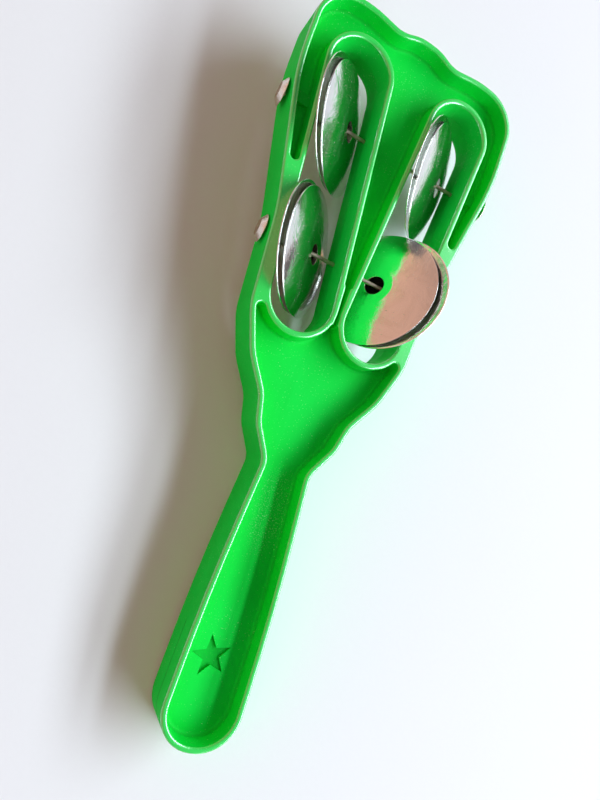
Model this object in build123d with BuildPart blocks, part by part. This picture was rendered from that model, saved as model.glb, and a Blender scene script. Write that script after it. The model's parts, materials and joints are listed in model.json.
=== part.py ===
"""A hand jingle stick: one moulded plastic body, four nails and four pairs of domed discs.

The frame: +X across the stick, +Y from the grip to the head, +Z out of the upper face.
The origin is in the middle of the grip, halfway through the thickness.
The stick lies as on a table, so every pair of discs leans over in its slot.
"""
import os
from math import acos, asin, atan2, cos, hypot, radians, sin, tan

from build123d import *

os.makedirs("parts", exist_ok=True)

# Driving dimensions, in millimetres and degrees.
overall_length = 206.0
thickness = 14.0
grip_station = 38.0         # from the butt end to the origin
grip_width = 21.2
neck_width = 14.8
neck_station = 74.0         # from the butt end to the narrowest place
waist_width = 49.4
head_width = 70.6
wall = 1.7                  # of the rim and of the wall round each slot
web = 2.2                   # the sheet in the middle plane that joins the walls
rim_rounding = 0.65
web_fillet = 1.2
pocket_corner = 1.3         # smallest corner radius of the pockets either side of the web

slot_width = 17.8           # at the middle plane, where a slot is narrowest
slot_end_room = 4.9         # from a disc's edge to the end of its slot
slot_lean = 5.3             # each slot leans outwards towards the head
slot_draft = 3.2
slot_offset = 14.6          # from the centre line to the middle of a slot
slot_from_top = 54.1        # from the head's end to the middle of a slot
valley_width = 0.9          # of the valley between the two slots' walls, at its narrowest
valley_mouth = 1.8          # and inside the pockets that it opens into

star_radius = 5.6
star_notch_radius = 2.3
star_turn = 15.6
star_depth = 0.7
star_station = 22.0         # from the butt end
star_aside = -0.9           # the star sits a little left of the middle

disc_diameter = 37.0
disc_sheet = 0.4
disc_crown = 2.1            # height of the dome over its rim
disc_hole = 5.8
hub_flat = 9.0              # diameter of the flat round the hole
pair_gap = 1.2              # between the upper and the lower discs of a slot
pairs_forward = 0.5         # both pairs sit this far towards the head from the slot's middle
stack_room = 2.627          # from a leaning pair's middle plane to the slot's edge
centre_room = 1.232         # from the lower pairs' lowest edges to the centre line
lean_shift = {"upper": 0.8, "lower": -0.4}  # a leaning pair sits this far to the side it faces
rim_gap = 2.2               # between the rims of a pair that stands upright
tip_spacing = 4.9           # between the two lines that the discs of a pair tip about
hang = 0.6                  # the discs hang this far below their nail

nail_diameter = 1.2
nail_head_diameter = 8.0
nail_head_height = 1.4
nail_head_flat = 4.6
nail_point = 1.6
nail_seat = 0.1             # under a head that is driven home
nail_proud = 1.2            # under the upper right head, which is not
nail_bite = 4.6             # length held by a slot's inner wall and the web
nail_tip_clear = 1.0        # from a nail's point to the centre line, at least
boss_width = 3.4
boss_rise = 1.4             # of the bosses that guide the upper nails over the web

# Places that follow from them.
half = thickness / 2
nail_spacing = disc_diameter + pair_gap
slot_length = nail_spacing + disc_diameter + 2 * slot_end_room
pocket_depth = (thickness - web) / 2
butt = -grip_station
head_end = overall_length - grip_station
neck_y = neck_station - grip_station
slot_y = head_end - slot_from_top
slot_foot = slot_y - slot_length / 2 * cos(radians(slot_lean))
lower_nail_y = slot_y - nail_spacing / 2 + pairs_forward
upper_nail_y = lower_nail_y + nail_spacing
sides = {"left": -1, "right": 1}


def from_head(distance):
    """Y of a place this far back from the head's end."""
    return head_end - distance


def slot_centre(side, y):
    """X of a slot's centre line at this Y."""
    return side * (slot_offset + (y - slot_y) * tan(radians(slot_lean)))


# The outline: straight runs joined by arcs, the right half first.
grip_half = grip_width / 2
neck_half = neck_width / 2
waist_half = waist_width / 2
head_half = head_width / 2
outline_corners = [
    ((grip_half + 0.3, butt), grip_half - 0.2),
    ((grip_half - 0.3, 0), 600),
    ((neck_half - 0.1, neck_y), 6),
    ((neck_half + 5.0, neck_y + 8.5), 10),
    ((neck_half + 6.9, neck_y + 16), 10),
    ((neck_half + 12.9, neck_y + 25), 20),
    ((waist_half, neck_y + 37), 20),
    ((waist_half + 2.1, from_head(68)), 85),
    ((head_half, from_head(29)), 75),
    ((head_half, from_head(2.2)), 12),
    ((head_half * 0.57, from_head(0.6)), 30),
    ((head_half * 0.27, from_head(2.4)), 9),
    ((head_half * 0.1, from_head(0)), 13),
]
outline_points = [(0, butt)] + [place for place, radius in outline_corners] + [(0, head_end)]
outline_radii = [radius for place, radius in outline_corners]

with BuildSketch(Plane.XY) as outline:
    with BuildLine():
        FilletPolyline(*outline_points, radius=outline_radii)
        mirror(about=Plane.YZ)
    make_face()

with BuildSketch(Plane.XY) as inside_rim:
    add(outline.sketch)
    offset(amount=-wall)


def outline_x(y):
    """Half the outline's width at this Y, from a thin strip of it."""
    with BuildSketch(Plane.XY) as strip:
        add(outline.sketch)
        with Locations((0, y)):
            Rectangle(2 * head_width, 0.01, mode=Mode.INTERSECT)
    return strip.sketch.bounding_box().max.X


def slot_shape(side, grow):
    """One slot's shape on the middle plane, larger all round by this much."""
    with Locations((side * slot_offset, slot_y)):
        SlotOverall(
            slot_length + 2 * grow,
            slot_width + 2 * grow,
            rotation=90 - side * slot_lean,
        )


def pocket_shape(low, high):
    """The hollow inside the rim and outside the slot walls between two Y, its corners rounded."""
    wall_outside = half * tan(radians(slot_draft)) + wall
    with BuildSketch(Plane.XY) as region:
        add(inside_rim.sketch)
        with Locations((0, (low + high) / 2)):
            Rectangle(2 * head_width, high - low, mode=Mode.INTERSECT)
        with BuildSketch(Plane.XY, mode=Mode.SUBTRACT):
            for side in sides.values():
                slot_shape(side, wall_outside)
    with BuildSketch(Plane.XY) as shrunk:
        add(region.sketch)
        offset(amount=-pocket_corner)
    with BuildSketch(Plane.XY) as rounded:
        add(shrunk.sketch)
        offset(amount=pocket_corner)
    return rounded.sketch


# Where the nails run: each comes in through the rim, crosses its slot and ends in the web.
nail_ys = {"upper": upper_nail_y, "lower": lower_nail_y}
nail_tips = {}
nail_walls = {}
for level, nail_y in nail_ys.items():
    inner_wall = slot_centre(1, nail_y) - slot_width / 2 / cos(radians(slot_lean))
    nail_tips[level] = max(inner_wall - nail_bite, nail_tip_clear)
    reach = nail_head_diameter / 2
    nail_walls[level] = max(outline_x(nail_y + step) for step in (-reach, 0, reach))

# The body: rim, web and slot walls in one moulding, the same on both faces but for the star.
narrow_y = slot_foot + slot_width / 2     # where the two slots' walls are nearest
grip_pocket = pocket_shape(butt, narrow_y - 1.9)
head_pocket = pocket_shape(narrow_y + 7.1, head_end)
boss_start = slot_centre(1, upper_nail_y) + slot_width / 2 + wall / 2
boss_end = outline_x(upper_nail_y) - wall / 2
valley_right = [
    (valley_mouth / 2, narrow_y - 6.4),
    (valley_width / 2, narrow_y),
    (valley_mouth / 2, narrow_y + 11.6),
]
valley_left = [(-x, y) for x, y in reversed(valley_right)]

with BuildPart() as body:
    with BuildSketch(Plane.XY.offset(-half)):
        add(outline.sketch)
    extrude(amount=thickness)
    for way in (1, -1):
        with BuildSketch(Plane.XY.offset(way * web / 2)):
            add(grip_pocket)
            add(head_pocket)
        extrude(amount=way * pocket_depth, mode=Mode.SUBTRACT)
    web_edges = body.faces().filter_by(Plane.XY).filter_by(lambda face: abs(face.center().Z) < half / 2)
    fillet(web_edges.edges(), radius=web_fillet)
    for side in sides.values():
        with Locations((side * (boss_start + boss_end) / 2, upper_nail_y)):
            Box(boss_end - boss_start, boss_width, web + 2 * boss_rise)
    for way in (1, -1):
        with BuildSketch(Plane.XY.offset(way * web / 2)):
            with BuildLine():
                Polyline(*valley_right, *valley_left, close=True)
            make_face()
        extrude(amount=way * pocket_depth, mode=Mode.SUBTRACT)
    for side in sides.values():
        for way in (1, -1):
            with BuildSketch(Plane.XY):
                slot_shape(side, 0)
            extrude(amount=way * half, taper=-slot_draft, mode=Mode.SUBTRACT)
    rim_faces = body.faces().filter_by(Plane.XY).filter_by(lambda face: abs(face.center().Z) > half - 0.1)
    fillet(rim_faces.edges(), radius=rim_rounding)

    star_y = star_station - grip_station
    star_points = []
    for corner in range(10):
        reach = star_radius if corner % 2 == 0 else star_notch_radius
        angle = radians(90 + star_turn + 36 * corner)
        star_points.append((star_aside + reach * cos(angle), star_y + reach * sin(angle)))
    with BuildSketch(Plane.XY.offset(web / 2)):
        with BuildLine():
            Polyline(*star_points, close=True)
        make_face()
    extrude(amount=-star_depth, mode=Mode.SUBTRACT)

    for level, nail_y in nail_ys.items():
        hole_length = nail_walls[level] - nail_tips[level]
        for side in sides.values():
            with Locations(Plane(origin=(side * nail_tips[level], nail_y, 0), z_dir=(side, 0, 0))):
                Cylinder(
                    nail_diameter / 2,
                    hole_length,
                    align=(Align.CENTER, Align.CENTER, Align.MIN),
                    mode=Mode.SUBTRACT,
                )

body.part.label = "body"
export_step(body.part, "parts/body.step")


# The nails: a pointed shank and a low bevelled head, as one turned piece.
for level, nail_y in nail_ys.items():
    for side_name, side in sides.items():
        seat = nail_proud if (level, side_name) == ("upper", "right") else nail_seat
        shank = nail_walls[level] + seat - nail_tips[level]
        tip = Vector(side * nail_tips[level], nail_y, 0)
        with BuildPart() as nail:
            with BuildSketch(Plane(origin=tip, x_dir=(0, 1, 0), z_dir=(0, 0, -side))):
                with BuildLine():
                    Polyline(
                        (0, 0),
                        (nail_diameter / 2, nail_point),
                        (nail_diameter / 2, shank),
                        (nail_head_diameter / 2, shank),
                        (nail_head_flat / 2, shank + nail_head_height),
                        (0, shank + nail_head_height),
                        close=True,
                    )
                make_face()
            revolve(axis=Axis(tip, (side, 0, 0)))
        nail.part.label = f"nail_{level}_{side_name}"
        export_step(nail.part, f"parts/nail_{level}_{side_name}.step")


# The discs: domed sheet with a flat round the hole, in pairs with their hollows together.
# A pair leans about lines along its slot, one near each disc's hole. facing is the side
# whose disc shows its dome upwards.
facings = {("upper", "left"): 1, ("lower", "left"): 1, ("upper", "right"): 1, ("lower", "right"): -1}
# The upper pairs lean until they would touch a slot's edges, and the lower pairs until their
# lowest edges would meet at the centre line.
disc_arm = (tip_spacing - rim_gap) / 2      # from a disc's tipping line to its rim's plane
slot_edge = slot_width / 2 + half * tan(radians(slot_draft))
upper_lean = acos(stack_room / hypot(slot_edge, half)) - atan2(half, slot_edge)
lower_lean = asin((slot_centre(1, lower_nail_y) - centre_room) / (disc_diameter / 2))
disc_lean = {"upper": upper_lean, "lower": min(lower_lean, upper_lean)}
for (level, side_name), facing in facings.items():
    side = sides[side_name]
    turn = radians(slot_lean)
    along = Vector(side * sin(turn), cos(turn), 0)
    across = Vector(cos(turn), -side * sin(turn), 0)
    lean = disc_lean[level] * facing
    normal = across * cos(lean) + Vector(0, 0, sin(lean))
    nail_y = nail_ys[level]
    middle = Vector(slot_centre(side, nail_y), nail_y, -hang) + across * (lean_shift[level] * facing)
    for way in (-1, 1):
        place = "outer" if way == side else "inner"
        outward = normal * way
        tipping_line = middle + across * (way * tip_spacing / 2)
        rim_centre = tipping_line - outward * disc_arm
        with BuildPart() as disc:
            with BuildSketch(Plane(origin=rim_centre, x_dir=along, z_dir=along.cross(outward))):
                with BuildLine():
                    Line((disc_hole / 2, disc_crown), (hub_flat / 2, disc_crown))
                    TangentArc((hub_flat / 2, disc_crown), (disc_diameter / 2, 0), tangent=(1, 0))
                    Line((disc_diameter / 2, 0), (disc_diameter / 2, -disc_sheet))
                    TangentArc(
                        (hub_flat / 2, disc_crown - disc_sheet),
                        (disc_diameter / 2, -disc_sheet),
                        tangent=(1, 0),
                    )
                    Line((hub_flat / 2, disc_crown - disc_sheet), (disc_hole / 2, disc_crown - disc_sheet))
                    Line((disc_hole / 2, disc_crown - disc_sheet), (disc_hole / 2, disc_crown))
                make_face()
            revolve(axis=Axis(rim_centre, outward))
        name = f"disc_{level}_{side_name}_{place}"
        disc.part.label = name
        export_step(disc.part, f"parts/{name}.step")
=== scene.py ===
"""The looks of a hand jingle stick: green moulded plastic, nickel discs and plated nails.

Everything is in metres, in the CAD model's frame: +X across the stick, +Y to the head,
+Z out of the upper face, the origin in the middle of the grip.
"""
import json
from math import cos, pi, radians, sin

import bmesh
import bpy
import numpy as np
from mathutils import Euler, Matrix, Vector

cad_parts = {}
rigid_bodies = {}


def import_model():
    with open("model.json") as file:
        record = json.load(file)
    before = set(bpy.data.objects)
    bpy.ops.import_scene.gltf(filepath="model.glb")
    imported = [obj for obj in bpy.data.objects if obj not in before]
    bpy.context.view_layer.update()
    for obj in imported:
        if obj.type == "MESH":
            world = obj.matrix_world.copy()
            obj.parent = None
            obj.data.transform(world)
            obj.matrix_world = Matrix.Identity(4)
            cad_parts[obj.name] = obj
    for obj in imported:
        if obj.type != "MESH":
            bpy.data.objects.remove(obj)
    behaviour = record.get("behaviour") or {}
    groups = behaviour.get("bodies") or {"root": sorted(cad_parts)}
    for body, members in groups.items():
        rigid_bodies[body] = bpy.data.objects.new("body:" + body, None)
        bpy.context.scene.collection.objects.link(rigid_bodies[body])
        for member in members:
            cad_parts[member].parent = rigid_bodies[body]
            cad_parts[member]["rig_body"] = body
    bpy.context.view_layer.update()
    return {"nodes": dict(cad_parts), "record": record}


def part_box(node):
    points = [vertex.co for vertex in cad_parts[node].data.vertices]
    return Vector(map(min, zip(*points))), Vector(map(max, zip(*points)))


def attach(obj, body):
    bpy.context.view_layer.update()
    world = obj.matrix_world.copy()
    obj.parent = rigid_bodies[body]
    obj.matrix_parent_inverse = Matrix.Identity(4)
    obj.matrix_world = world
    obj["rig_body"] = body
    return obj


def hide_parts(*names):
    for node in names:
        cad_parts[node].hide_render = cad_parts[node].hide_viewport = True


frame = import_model()
nodes = frame["nodes"]
joints = {joint["child"]: joint for joint in frame["record"]["behaviour"]["joints"]}
mm = 0.001


# Shader tools ---------------------------------------------------------------------------


class Value:
    """One output of a node. Arithmetic on it adds Math nodes."""

    def __init__(self, finish, end):
        self.finish = finish
        self.end = end

    def maths(self, operation, first, second=0.0):
        return self.finish.node("Math", {"operation": operation}, {0: first, 1: second})

    def __add__(self, other):
        return self.maths("ADD", self, other)

    __radd__ = __add__

    def __sub__(self, other):
        return self.maths("SUBTRACT", self, other)

    def __rsub__(self, other):
        return self.maths("SUBTRACT", other, self)

    def __mul__(self, other):
        return self.maths("MULTIPLY", self, other)

    def __truediv__(self, other):
        return self.maths("DIVIDE", self, other)

    def __pow__(self, other):
        return self.maths("POWER", self, other)

    def __abs__(self):
        return self.maths("ABSOLUTE", self)

    def lower(self, other):
        return self.maths("MINIMUM", self, other)

    def ramp(self, low, high):
        """0 at low, 1 at high, and smooth in between. low may be above high."""
        if low > high:
            return 1 - self.ramp(high, low)
        return self.finish.node(
            "MapRange", {"interpolation_type": "SMOOTHSTEP"}, {0: self, 1: low, 2: high}
        )


class Finish:
    """A node tree that makes a surface's finish."""

    def __init__(self, name, owner=None):
        self.owner = owner or bpy.data.materials.new(name)
        self.owner.use_nodes = True
        self.tree = self.owner.node_tree
        self.tree.nodes.clear()

    def node(self, kind, settings=None, sockets=None, output=0):
        """Adds a node, sets it up, then fills its sockets with values or links."""
        made = self.tree.nodes.new("ShaderNode" + kind)
        for name, value in (settings or {}).items():
            setattr(made, name, value)
        for name, value in (sockets or {}).items():
            if isinstance(value, Value):
                self.tree.links.new(value.end, made.inputs[name])
            else:
                made.inputs[name].default_value = value
        return Value(self, made.outputs[output]) if made.outputs else None

    def place(self, stretch=(1, 1, 1), turn=(0, 0, 0)):
        """Object coordinates, turned and stretched."""
        where = self.node("TexCoord", output="Object")
        return self.node("Mapping", {}, {"Vector": where, "Scale": stretch, "Rotation": turn})

    def noise(self, where, scale, detail=2.0, rough=0.5, warp=0.0):
        sockets = {"Vector": where, "Scale": scale, "Detail": detail}
        return self.node("TexNoise", {}, {**sockets, "Roughness": rough, "Distortion": warp})

    def mix(self, share, first, second):
        """A colour between two colours."""
        return self.node("Mix", {"data_type": "RGBA"}, {0: share, 6: first, 7: second}, output=2)

    def xyz(self, where):
        return [self.node("SeparateXYZ", {}, {0: where}, output=k) for k in range(3)]

    def attribute(self, name):
        return self.node("Attribute", {"attribute_name": name}, output="Fac")

    def bump(self, height, distance, strength=1.0):
        return self.node("Bump", {}, {"Height": height, "Distance": distance, "Strength": strength})

    def principled(self, **sockets):
        """The Principled shader, its sockets named with _ for each space."""
        named = {name.replace("_", " "): value for name, value in sockets.items()}
        return self.node("BsdfPrincipled", {}, named)

    def surface(self, shader):
        self.node("OutputMaterial", {}, {"Surface": shader})
        return self.owner


def colour(red, green, blue):
    return (red, green, blue, 1.0)


# Finishes -------------------------------------------------------------------------------


def plastic():
    """Glossy green moulding: polished rims, a duller web, dust, scuffs and a parting line, with
    painted shade in the web's corners and the star's recess and a painted highlight on the rim tops.
    """
    f = Finish("green_plastic")
    plain = f.place()
    x, y, z = f.xyz(plain)
    height = abs(z) / mm
    rim = height.ramp(6.25, 6.8)
    web = height.ramp(1.7, 1.15)
    facing_up = abs(f.xyz(f.node("NewGeometry", output="Normal"))[2])
    # Painted shade: the web's corner fillets, where the web meets the walls, are mixed towards a dark
    # green.
    corner_shade = height.ramp(1.12, 1.5) * height.ramp(3.4, 1.8) * facing_up.ramp(0.12, 0.4)

    cloud = f.noise(plain, 28, 3)
    flow = f.noise(f.place((1, 0.22, 1)), 160, 4, 0.6, 0.8)
    tone = (cloud * 0.8 + flow * 0.2).ramp(0.3, 0.7)
    green = f.mix(tone, colour(0.0015, 0.66, 0.048), colour(0.0030, 0.76, 0.066))
    green = f.mix(corner_shade * 0.40, green, colour(0.001, 0.36, 0.016))
    # Painted highlight with some pale wear: the rim tops are mixed towards a pale green.
    green = f.mix(rim * 0.30, green, colour(0.050, 0.90, 0.150))
    # Painted shade: the floor of the star recess is mixed towards a dark green.
    star_depth = height.ramp(1.0, 0.8) * height.ramp(0.15, 0.35)
    star_floor_shade = star_depth * z.ramp(0.0, 0.0002) * y.ramp(-0.008, -0.0095)
    green = f.mix(star_floor_shade * 0.55, green, colour(0.001, 0.38, 0.020))

    grit = f.noise(plain, 2600, 2, 0.5)
    dusty = f.noise(plain, 60, 3).ramp(0.42, 0.7)
    specks = grit.ramp(0.675, 0.720) * (0.25 + dusty * 0.75)
    scuff = ((x - 0.002) / 0.006) ** 2 + ((y - 0.024) / 0.013) ** 2
    scuff_patch = scuff.ramp(1.3, 0.1) * web
    lines = f.noise(f.place((1, 0.05, 1), (0, 0, 0.35)), 2400, 2).ramp(0.60, 0.72)
    cross = f.noise(f.place((0.06, 1, 1), (0, 0, 0.15)), 2000, 2).ramp(0.62, 0.74)
    scratches = (lines + cross).lower(1.0) * f.noise(plain, 70, 2).ramp(0.52, 0.72)
    scuffed = scuff_patch * grit.ramp(0.52, 0.70)
    chalk = (specks * 0.75 + scuffed * 0.28 + scratches * 0.06).lower(1.0)
    green = f.mix(chalk, green, colour(0.42, 0.88, 0.45))

    smear = f.noise(plain, 90, 4, 0.6)
    peel = f.noise(plain, 900, 2)
    seam = height.ramp(0.11, 0.03)
    moulded = peel * 0.006 + flow * 0.001 + seam * 0.025
    relief = f.bump(moulded - scratches * 0.002 + specks * 0.02, mm)
    polished = f.principled(
        Base_Color=green,
        Roughness=0.24 - rim * 0.04 + smear * 0.10 + chalk * 0.25,
        Normal=relief,
        Specular_IOR_Level=1.0,
        Coat_Weight=1.0,
        Coat_IOR=1.9,
        Coat_Roughness=0.20,
    )
    dull = f.principled(
        Base_Color=green,
        Roughness=0.56 + smear * 0.12 + chalk * 0.20,
        Normal=relief,
        Specular_IOR_Level=0.10,
    )
    return f.surface(f.node("MixShader", {}, {0: height.ramp(6.6, 5.9), 1: polished, 2: dull}))


def nickel():
    """Bright nickel sheet: pressing rings, fine pits, smears and a smoother rim with a painted
    highlight.
    """
    f = Finish("disc_nickel")
    plain = f.place()
    radius = f.attribute("radius") / mm
    cloud = f.noise(plain, 120, 4, 0.6, 0.6)
    smear = f.noise(f.place((1, 0.35, 1)), 330, 4, 0.62, 1.0)
    pits = f.noise(plain, 1900, 2, 0.5)
    pitted = pits.ramp(0.66, 0.74) * cloud.ramp(0.40, 0.62)
    edge = radius.ramp(17.9, 18.3)
    tarnish = cloud.ramp(0.48, 0.72) * 0.5
    metal = f.mix(tarnish, colour(0.80, 0.79, 0.76), colour(0.66, 0.63, 0.55))
    # Painted highlight: the rim band is mixed towards a paler nickel.
    metal = f.mix(edge * 0.7, metal, colour(0.92, 0.91, 0.89))
    metal = f.mix(pitted * 0.45, metal, colour(0.30, 0.27, 0.22))
    rough = 0.13 + smear.ramp(0.40, 0.75) * 0.12 + tarnish * 0.08 + pitted * 0.3 - edge * 0.04
    rings = f.node("Math", {"operation": "SINE"}, {0: radius * 19.0})
    relief = cloud * 0.20 + smear * 0.050 + rings * 0.0007 - pitted * 0.012
    return f.surface(
        f.principled(Base_Color=metal, Metallic=1.0, Roughness=rough, Normal=f.bump(relief, mm))
    )


def nail_steel():
    """Dull plated steel, warm where the plating is thin, with a painted highlight on the head's
    bevelled rim.
    """
    f = Finish("nail_steel")
    plain = f.place()
    radius = f.attribute("radius") / mm
    cloud = f.noise(plain, 420, 4, 0.6)
    fine = f.noise(f.place((0.12, 1, 1)), 3000, 2)
    bevel_highlight = radius.ramp(2.1, 2.5)
    metal = f.mix(cloud.ramp(0.35, 0.65), colour(0.50, 0.37, 0.28), colour(0.66, 0.52, 0.42))
    # Painted highlight: the head's bevel is mixed towards a pale steel.
    metal = f.mix(bevel_highlight * 0.7, metal, colour(0.90, 0.85, 0.79))
    rough = 0.28 + cloud * 0.14 - bevel_highlight * 0.08
    relief = cloud * 0.03 + fine * 0.008
    return f.surface(
        f.principled(Base_Color=metal, Metallic=1.0, Roughness=rough, Normal=f.bump(relief, mm))
    )


def floor_finish():
    """Pale matt table top with a faint grain."""
    f = Finish("table_top")
    plain = f.place()
    grain = f.noise(plain, 700, 3)
    cloud = f.noise(plain, 9, 2)
    pale = f.mix(cloud * 0.6 + grain * 0.4, colour(0.80, 0.80, 0.81), colour(0.84, 0.84, 0.85))
    return f.surface(f.principled(Base_Color=pale, Roughness=0.75, Normal=f.bump(grain * 0.02, mm)))


# Shapes ---------------------------------------------------------------------------------


def softened(corners, reach, steps=6):
    """A run of straight lines whose corners are parabolas.

    Between a, reach back from corner c, and b, reach on from it, the place is
    (1 - s)^2 a + 2 s (1 - s) c + s^2 b with s from 0 to 1.
    """
    corners = np.array(corners, float)
    s = np.linspace(0, 1, steps)[:, None]
    before = corners[:-2] - corners[1:-1]
    after = corners[2:] - corners[1:-1]
    a = corners[1:-1] + before * (reach / np.linalg.norm(before, axis=1))[:, None]
    b = corners[1:-1] + after * (reach / np.linalg.norm(after, axis=1))[:, None]
    bends = (1 - s) ** 2 * a[:, None] + 2 * s * (1 - s) * corners[1:-1, None] + s**2 * b[:, None]
    return np.vstack([corners[:1], bends.reshape(-1, 2), corners[-1:]])


def turned(name, profile, foot, axis, start, wave=None, closed=True, around=144):
    """A surface of revolution about an axis through the foot.

    place = foot + axis * height + radius * (start * cos(turn) + side * sin(turn)),
    where (radius, height) runs along the profile and turn goes once round.
    wave(radius, turn) is added to the height, for sheet that isn't quite true.
    """
    radius, height = np.array(profile, float).T
    turn = np.linspace(0, 2 * pi, around, endpoint=False)
    axis = np.array(axis, float)
    start = np.array(start, float)
    side = np.cross(axis, start)
    spokes = np.cos(turn)[:, None] * start + np.sin(turn)[:, None] * side
    lift = np.repeat(height[:, None], around, axis=1)
    if wave is not None:
        lift = lift + wave(radius[:, None], turn[None, :])
    places = np.array(foot) + lift[..., None] * axis + radius[:, None, None] * spokes
    rows = len(radius)
    row = np.arange(rows if closed else rows - 1)[:, None]
    column = np.arange(around)[None, :]
    here, there = row * around, (row + 1) % rows * around
    ahead = (column + 1) % around
    faces = np.stack([here + column, here + ahead, there + ahead, there + column], axis=-1)

    mesh = bpy.data.meshes.new(name)
    mesh.from_pydata(places.reshape(-1, 3), [], faces.reshape(-1, 4))
    reach_out = mesh.attributes.new("radius", "FLOAT", "POINT")
    reach_out.data.foreach_set("value", np.repeat(radius, around).astype(np.float32))
    work = bmesh.new()
    work.from_mesh(mesh)
    bmesh.ops.remove_doubles(work, verts=work.verts, dist=1e-7)
    bmesh.ops.recalc_face_normals(work, faces=work.faces)
    work.to_mesh(mesh)
    work.free()
    mesh.shade_smooth()
    piece = bpy.data.objects.new(name, mesh)
    bpy.context.scene.collection.objects.link(piece)
    return piece


def stands_for(piece, node, finish):
    """The piece takes the CAD node's place: it rides on the same body."""
    piece.data.materials.append(finish)
    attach(piece, nodes[node]["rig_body"])
    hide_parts(node)


# Discs ----------------------------------------------------------------------------------

disc_radius = 18.5 * mm
hole_radius = 2.9 * mm
hub_radius = 4.5 * mm
crown = 2.1 * mm
sheet = 0.4 * mm
ring_radius = 5.6 * mm
ring_width = 0.5 * mm
ring_rise = 0.05 * mm
disc_arm = 1.35 * mm        # from the line that a disc tips about to its rim's plane
lean = {"upper": radians(39.955), "lower": radians(39)}
facing = {"upper_left": 1, "lower_left": 1, "upper_right": 1, "lower_right": -1}


def dome(radius):
    """Height of the pressed sheet.

    It is flat to the hub's edge, then an arc that falls by the crown at the rim.
    A shallow pressed ring stands outside the hub, whose height is
    ring_rise * exp(-((radius - ring_radius) / ring_width)^2).
    """
    run = disc_radius - hub_radius
    arc = (run**2 + crown**2) / (2 * crown)
    out = np.clip(radius - hub_radius, 0, None)
    ring = ring_rise * np.exp(-(((radius - ring_radius) / ring_width) ** 2))
    return crown - (arc - np.sqrt(arc**2 - out**2)) + ring


def disc_profile():
    """Out along the upper side of the sheet, round the rim, back below, and round the hole's edge."""
    bead = sheet / 2
    out = np.concatenate([
        np.linspace(hole_radius + bead, 8 * mm, 26)[:-1],
        np.linspace(8 * mm, disc_radius - bead, 30),
    ])
    turn = np.linspace(0, pi, 9)[1:-1]
    rim = np.stack([
        disc_radius - bead + bead * np.sin(turn),
        dome(disc_radius - bead) - bead + bead * np.cos(turn),
    ], axis=-1)
    hole = np.stack([
        hole_radius + bead - bead * np.sin(turn),
        crown - bead - bead * np.cos(turn),
    ], axis=-1)
    upper = np.stack([out, dome(out)], axis=-1)
    lower = np.stack([out[::-1], dome(out[::-1]) - sheet], axis=-1)
    return np.concatenate([upper, rim, lower, hole])


def untrue(seed):
    """A disc's slight waves, which grow towards the rim: a sum of three waves round the disc."""
    phases = np.random.default_rng(seed).uniform(0, 2 * pi, 3)

    def wave(radius, turn):
        share = (radius / disc_radius) ** 2
        rounds = 0.030 * np.sin(2 * turn + phases[0])
        rounds = rounds + 0.020 * np.sin(3 * turn + phases[1]) + 0.009 * np.sin(7 * turn + phases[2])
        return rounds * share * mm

    return wave


nickel_finish = nickel()
for number, (pair, way_up) in enumerate(facing.items()):
    level, side_name = pair.split("_")
    side = 1 if side_name == "right" else -1
    tilt = lean[level] * way_up
    for place in ("outer", "inner"):
        node = f"disc_{pair}_{place}"
        along = Vector(joints[node]["axis"])
        along = along if along.y > 0 else -along
        across = Vector((along.y, -along.x, 0))
        normal = across * cos(tilt) + Vector((0, 0, sin(tilt)))
        outward = normal * (side if place == "outer" else -side)
        centre = Vector(joints[node]["pos_m"]) - outward * disc_arm
        wave = untrue(number * 2 + (place == "inner"))
        disc = turned(f"jingle_{pair}_{place}", disc_profile(), centre, outward, along, wave)
        stands_for(disc, node, nickel_finish)

# Nails ----------------------------------------------------------------------------------

shank_radius = 0.6 * mm
point_length = 1.6 * mm
head_height = 1.4 * mm
head_edge = 0.22 * mm
head_flat_radius = 2.35 * mm
head_dish = 0.15 * mm

steel_finish = nail_steel()
for level in ("upper", "lower"):
    for side_name, side in (("left", -1), ("right", 1)):
        node = f"nail_{level}_{side_name}"
        low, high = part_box(node)
        middle = (low + high) / 2
        length = high.x - low.x
        point = Vector((middle.x - side * length / 2, middle.y, middle.z))
        head = (high.z - low.z) / 2
        seat = length - head_height
        profile = softened(
            [
                (0, 0),
                (shank_radius, point_length),
                (shank_radius, seat - 0.01 * mm),
                (head, seat),
                (head, seat + head_edge),
                (head_flat_radius, length),
                (0, length - head_dish),
            ],
            0.1 * mm,
        )
        name = f"pin_{level}_{side_name}"
        nail = turned(name, profile, point, (side, 0, 0), (0, 1, 0), closed=False, around=72)
        stands_for(nail, node, steel_finish)

# Body -----------------------------------------------------------------------------------

body = nodes["body"]
body.data.materials.clear()
body.data.materials.append(plastic())

# Table, light and camera ----------------------------------------------------------------

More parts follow.
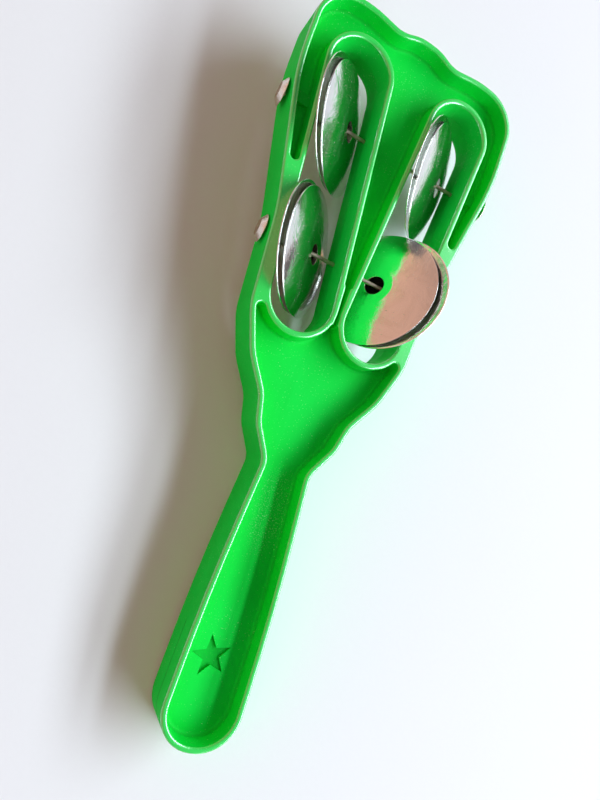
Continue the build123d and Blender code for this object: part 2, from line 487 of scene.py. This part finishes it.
# The stick lies on the lower edge of its butt and on the lower discs.
butt_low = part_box("body")[0]
lower_places = ("left_inner", "right_inner", "left_outer", "right_outer")
disc_low = min((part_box(f"disc_lower_{name}")[0].z for name in lower_places))
rest_y = joints["disc_lower_left_outer"]["pos_m"][1]
slope = (disc_low - butt_low.z) / (rest_y - butt_low.y)
table_half = 2.5
table_gap = 0.05 * mm
table_corners = [
    (x, y, butt_low.z + slope * (y - butt_low.y) - table_gap)
    for x, y in (
        (-table_half, -table_half),
        (table_half, -table_half),
        (table_half, table_half),
        (-table_half, table_half),
    )
]
table_mesh = bpy.data.meshes.new("table")
table_mesh.from_pydata(table_corners, [], [(0, 1, 2, 3)])
table_mesh.materials.append(floor_finish())
table = bpy.data.objects.new("table", table_mesh)
bpy.context.scene.collection.objects.link(table)


def lamp(name, place, aim, width, height, watts, tint):
    """A soft rectangular light that faces the aim."""
    light = bpy.data.lights.new(name, "AREA")
    light.shape = "RECTANGLE"
    light.size = width
    light.size_y = height
    light.energy = watts
    light.color = tint
    made = bpy.data.objects.new(name, light)
    made.location = place
    made.rotation_euler = (Vector(aim) - Vector(place)).to_track_quat("-Z", "Y").to_euler()
    bpy.context.scene.collection.objects.link(made)


aim = (0, 0.06, 0)
lamp("window_low", (1.88, 0.18, 1.20), aim, 3.6, 0.44, 64.0, (0.80, 0.92, 1.0))
lamp("window_high", (1.52, 0.18, 1.64), aim, 3.6, 0.30, 38.0, (0.76, 0.90, 1.0))

world = bpy.data.worlds.new("room")
bpy.context.scene.world = world
room = Finish("room", world)
direction = room.node("TexCoord", output="Generated")
to_right, _, up = room.xyz(direction)
warm_wall = colour(1.02, 0.60, 0.40)
cool_wall = colour(0.95, 1.00, 1.10)
warm_ceiling = colour(0.85, 0.48, 0.36)
dark_ceiling = colour(0.14, 0.14, 0.16)
low_glow = room.mix(to_right.ramp(-0.5, 0.6), warm_wall, cool_wall)
high_glow = room.mix(to_right.ramp(-0.9, 0.2), warm_ceiling, dark_ceiling)
glow = room.mix(up.ramp(0.08, 0.45), low_glow, high_glow)
backdrop = room.node("Background", {}, {"Color": glow, "Strength": 0.9})
room.node("OutputWorld", {}, {"Surface": backdrop})

camera_data = bpy.data.cameras.new("camera")
camera_data.lens = 27.0
camera_data.sensor_width = 36.0
camera_data.clip_start = 0.005
camera = bpy.data.objects.new("camera", camera_data)
camera.location = (-0.06083, 0.03134, 0.15434)
camera.rotation_euler = Euler((radians(0.447), radians(-22.909), radians(20.458)))
bpy.context.scene.collection.objects.link(camera)
bpy.context.scene.camera = camera
bpy.context.scene.view_settings.view_transform = "Standard"
